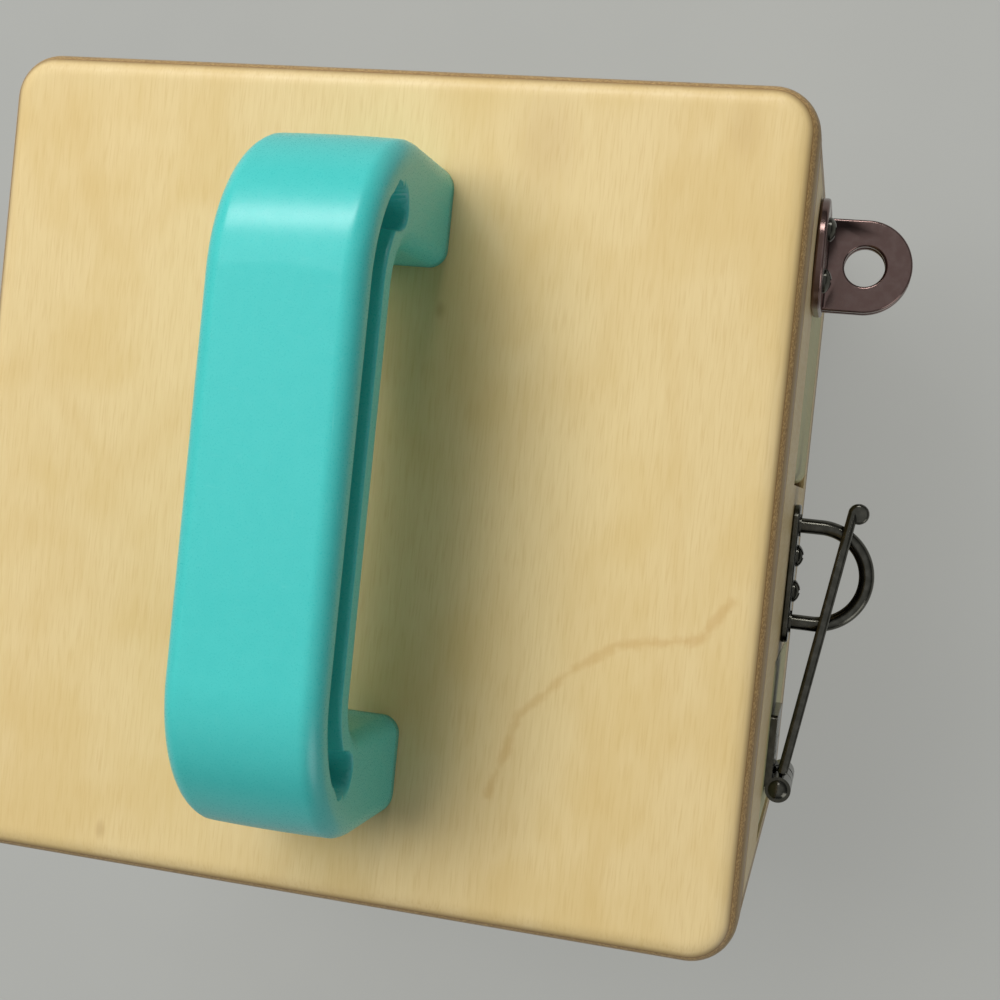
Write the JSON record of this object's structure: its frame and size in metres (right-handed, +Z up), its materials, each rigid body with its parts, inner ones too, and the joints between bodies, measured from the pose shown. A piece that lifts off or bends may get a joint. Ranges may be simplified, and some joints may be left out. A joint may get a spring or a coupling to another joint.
{
  "type": "wooden lock box",
  "caption": "Small plywood cube for toddlers with a moulded carry handle and a hinged door on each side, each held by a different kind of latch.",
  "frame": {"origin": "centre of the box's bottom face, on the ground", "axes": "+X out of the side with the hasp and the padlock eyes, +Y along the carry handle towards the side with the hook, +Z up"},
  "size_m": [0.1945, 0.1942, 0.1975],
  "materials": {
    "birch_ply": "clear lacquered birch plywood",
    "painted_ply": "sage green water based paint on birch plywood",
    "beech": "turned beech, clear lacquered",
    "teal_plastic": "gloss moulded plastic",
    "nylon": "moulded nylon",
    "dark_nickel": "polished black nickel plate on steel",
    "steel": "zinc plated steel"
  },
  "bodies": {
    "frame": {"base_panel": "birch_ply", "top_panel": "birch_ply", "wall_front": "birch_ply", "wall_back": "birch_ply", "wall_left": "birch_ply", "wall_right": "birch_ply", "door_stops": "birch_ply", "handle": "teal_plastic", "handle_screws": "steel", "hasp_door_pins": "steel", "eye_door_pins": "steel", "bolt_door_pins": "steel", "button_door_pins": "steel", "hook_door_pins": "steel", "hinge_washers": "nylon", "staple_plate": "dark_nickel", "staple_loop": "dark_nickel", "staple_screws": "dark_nickel", "frame_eye": "dark_nickel", "frame_eye_screws": "dark_nickel", "keeper": "dark_nickel", "keeper_screws": "steel", "button_screw": "steel", "button_washer": "steel", "hook_screw": "steel", "hook_washer": "steel", "hook_stop": "steel"},
    "hasp_door": {"hasp_door": "painted_ply", "hasp_leaf": "dark_nickel", "hasp_pin": "dark_nickel", "hasp_leaf_screws": "dark_nickel"},
    "flap": {"hasp_flap": "dark_nickel"},
    "eye_door": {"eye_door": "painted_ply", "door_eye": "dark_nickel", "door_eye_screws": "dark_nickel"},
    "bolt_door": {"bolt_door": "painted_ply", "bolt_case": "dark_nickel", "bolt_screws": "steel"},
    "bolt": {"bolt_rod": "steel"},
    "button_door": {"button_door": "painted_ply", "button_door_knob": "beech"},
    "button": {"turn_button": "beech"},
    "hook_door": {"hook_door": "painted_ply", "hook_door_knob": "beech", "hook_peg": "steel"},
    "hook": {"hook_arm": "dark_nickel"}
  },
  "joints": [
    {"name": "hasp_door_hinge", "type": "hinge", "parent": "frame", "child": "hasp_door", "pos_m": [0.0768, -0.064, 0.0608], "axis": [0, 0, -1], "range_deg": [0, 90]},
    {"name": "eye_door_hinge", "type": "hinge", "parent": "frame", "child": "eye_door", "pos_m": [0.0768, 0.013, 0.0608], "axis": [0, 0, -1], "range_deg": [0, 90]},
    {"name": "bolt_door_hinge", "type": "hinge", "parent": "frame", "child": "bolt_door", "pos_m": [-0.044, -0.0768, 0.075], "axis": [0, 0, -1], "range_deg": [0, 95]},
    {"name": "button_door_hinge", "type": "hinge", "parent": "frame", "child": "button_door", "pos_m": [-0.0768, 0.044, 0.075], "axis": [0, 0, -1], "range_deg": [0, 95]},
    {"name": "hook_door_hinge", "type": "hinge", "parent": "frame", "child": "hook_door", "pos_m": [0.044, 0.0768, 0.075], "axis": [0, 0, -1], "range_deg": [0, 95]},
    {"name": "hasp_flap_hinge", "type": "hinge", "parent": "hasp_door", "child": "flap", "pos_m": [0.0831, -0.0575, 0.076], "axis": [0, 0, -1], "range_deg": [-9, 80]},
    {"name": "bolt_slide", "type": "slide", "parent": "bolt_door", "child": "bolt", "axis": [1, 0, 0], "range_m": [0, 0.012]},
    {"name": "turn_button_pivot", "type": "hinge", "parent": "frame", "child": "button", "pos_m": [-0.08, -0.057, 0.075], "axis": [-1, 0, 0], "range_deg": [0, 90]},
    {"name": "hook_pivot", "type": "hinge", "parent": "frame", "child": "hook", "pos_m": [-0.058, 0.08, 0.088], "axis": [0, 1, 0], "range_deg": [0, 98]}
  ]
}
